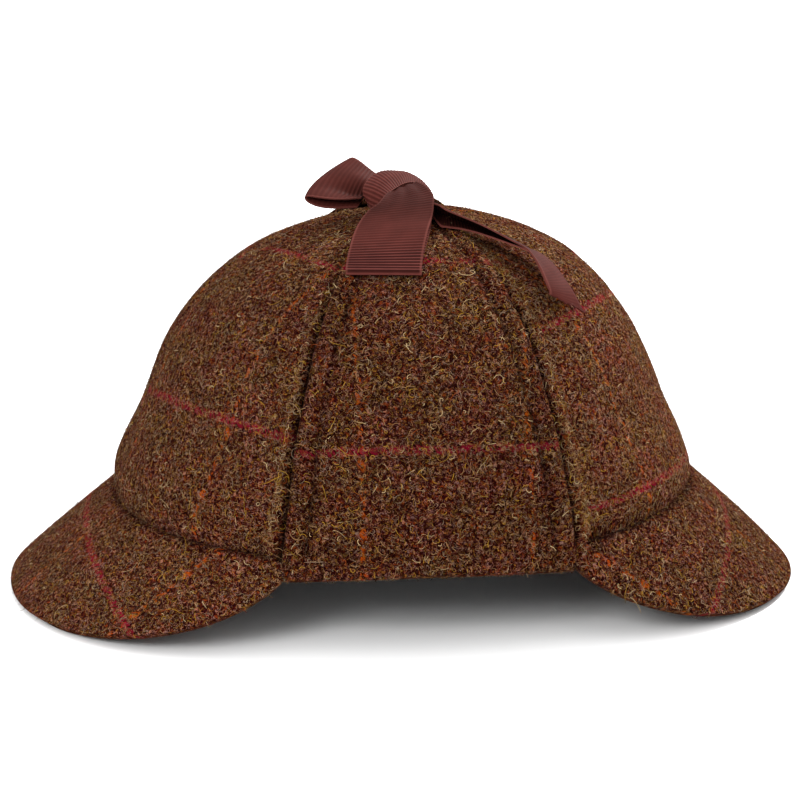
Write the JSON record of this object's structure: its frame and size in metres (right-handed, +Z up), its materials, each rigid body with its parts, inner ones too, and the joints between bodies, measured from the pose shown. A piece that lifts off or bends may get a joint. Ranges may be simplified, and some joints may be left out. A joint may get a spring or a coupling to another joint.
{
  "type": "deerstalker hat",
  "caption": "Tweed deerstalker hat with a panelled dome crown, a peak front and back, and ear flaps turned up and tied on top with a ribbon bow.",
  "frame": {"origin": "the middle of the hat's length and width, on the surface that it stands on", "axes": "+Z up, +X from the front peak to the back peak, the wearer's left towards -Y"},
  "size_m": [0.2835, 0.1828, 0.1495],
  "materials": {
    "tweed": "hairy woven wool, dark brown with coloured flecks and a windowpane check",
    "lining": "smooth black lining cloth",
    "ribbon": "ribbed maroon grosgrain"
  },
  "bodies": {
    "root": {"crown_panel_back_right": "tweed", "crown_panel_right": "tweed", "crown_panel_front_right": "tweed", "crown_panel_front_left": "tweed", "crown_panel_left": "tweed", "crown_panel_back_left": "tweed", "lining": "lining", "front_peak": "tweed", "back_peak": "tweed", "ear_flap_left": "tweed", "ear_flap_right": "tweed", "tie_knot": "ribbon", "tie_loop_front": "ribbon", "tie_loop_left": "ribbon", "tie_tail_back": "ribbon", "tie_root_right": "ribbon"}
  },
  "joints": []
}
